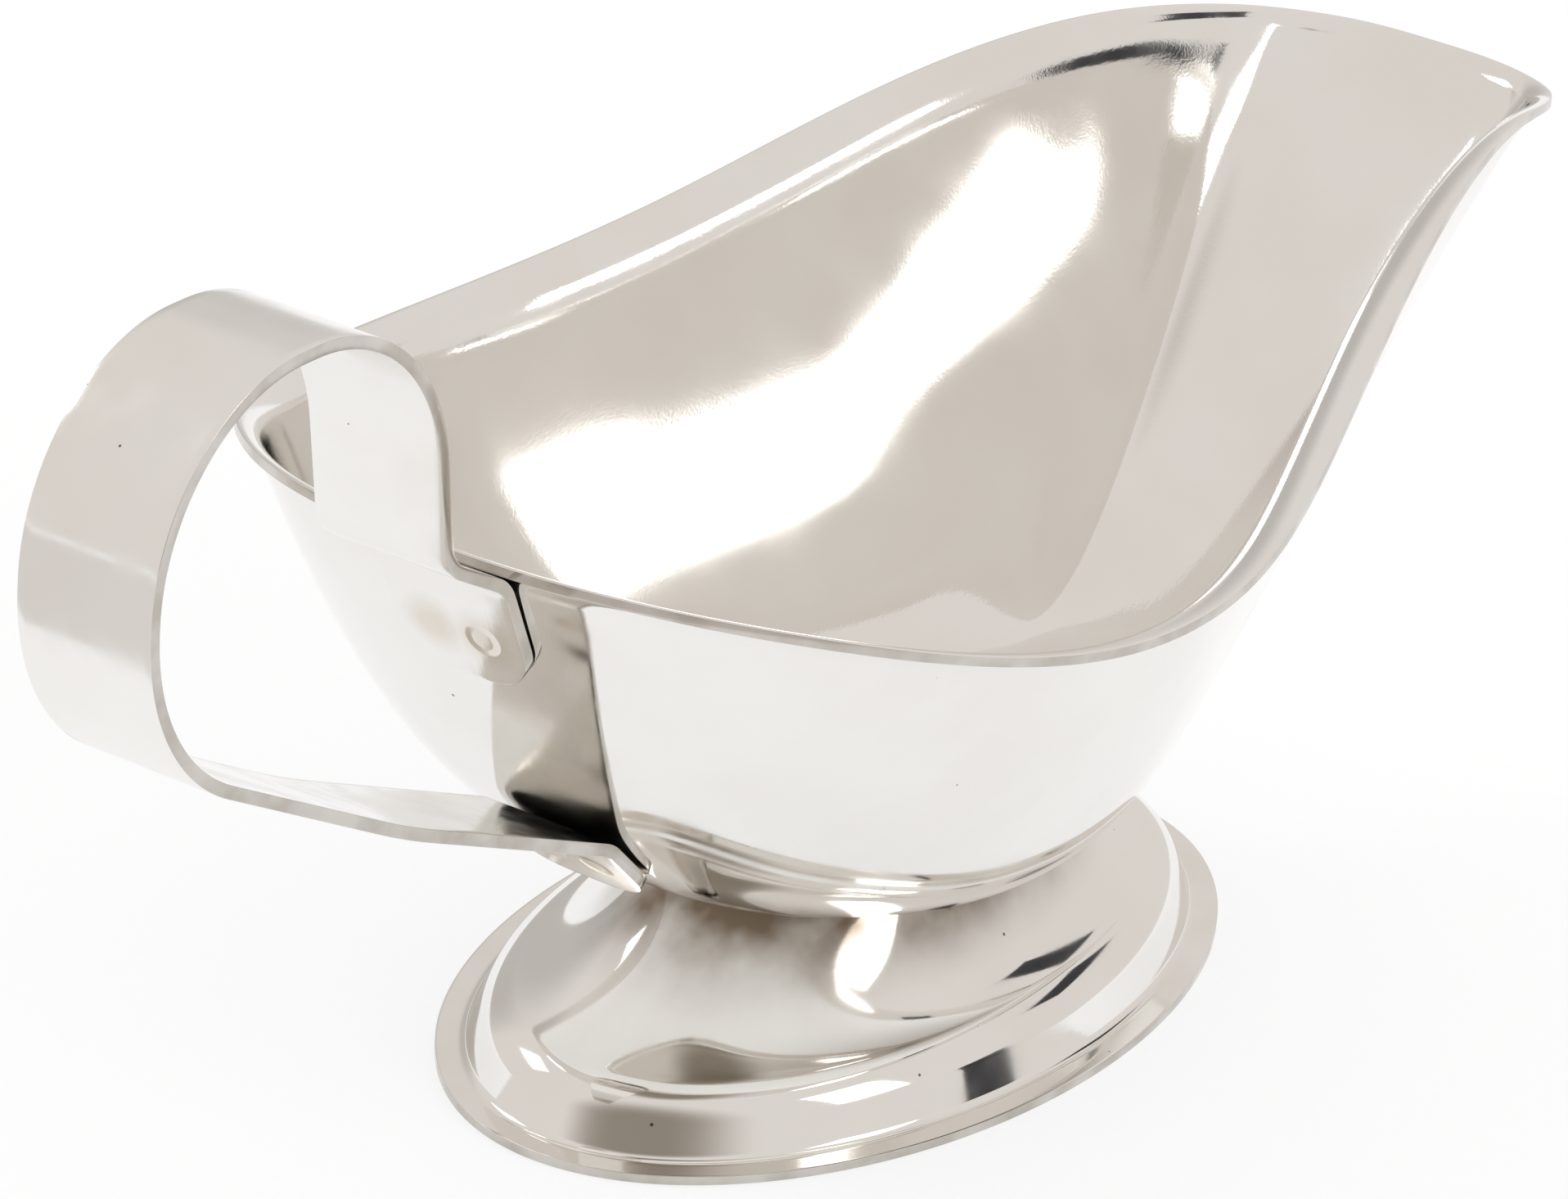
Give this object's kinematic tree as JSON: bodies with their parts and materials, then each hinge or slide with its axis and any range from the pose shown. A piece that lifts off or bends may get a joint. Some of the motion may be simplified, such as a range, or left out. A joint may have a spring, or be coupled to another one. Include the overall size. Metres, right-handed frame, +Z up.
{
  "type": "gravy boat",
  "caption": "Polished steel gravy boat: an open oval bowl drawn out into a broad pouring spout, on an oval pedestal foot, with a looped strap handle behind.",
  "frame": {"origin": "on the table, halfway between the back of the handle loop and the tip of the spout, in the plane of symmetry", "axes": "+X towards the spout, +Z up from the table, +Y to the left when looking along +X"},
  "size_m": [0.1952, 0.0852, 0.0883],
  "materials": {
    "polished_steel_bowl": "mirror polished outside, fine satin inside",
    "polished_steel_handle": "polished strip with duller sheared edges",
    "polished_steel_foot": "mirror polished"
  },
  "bodies": {
    "root": {"bowl": "polished_steel_bowl", "handle": "polished_steel_handle", "foot": "polished_steel_foot"}
  },
  "joints": []
}
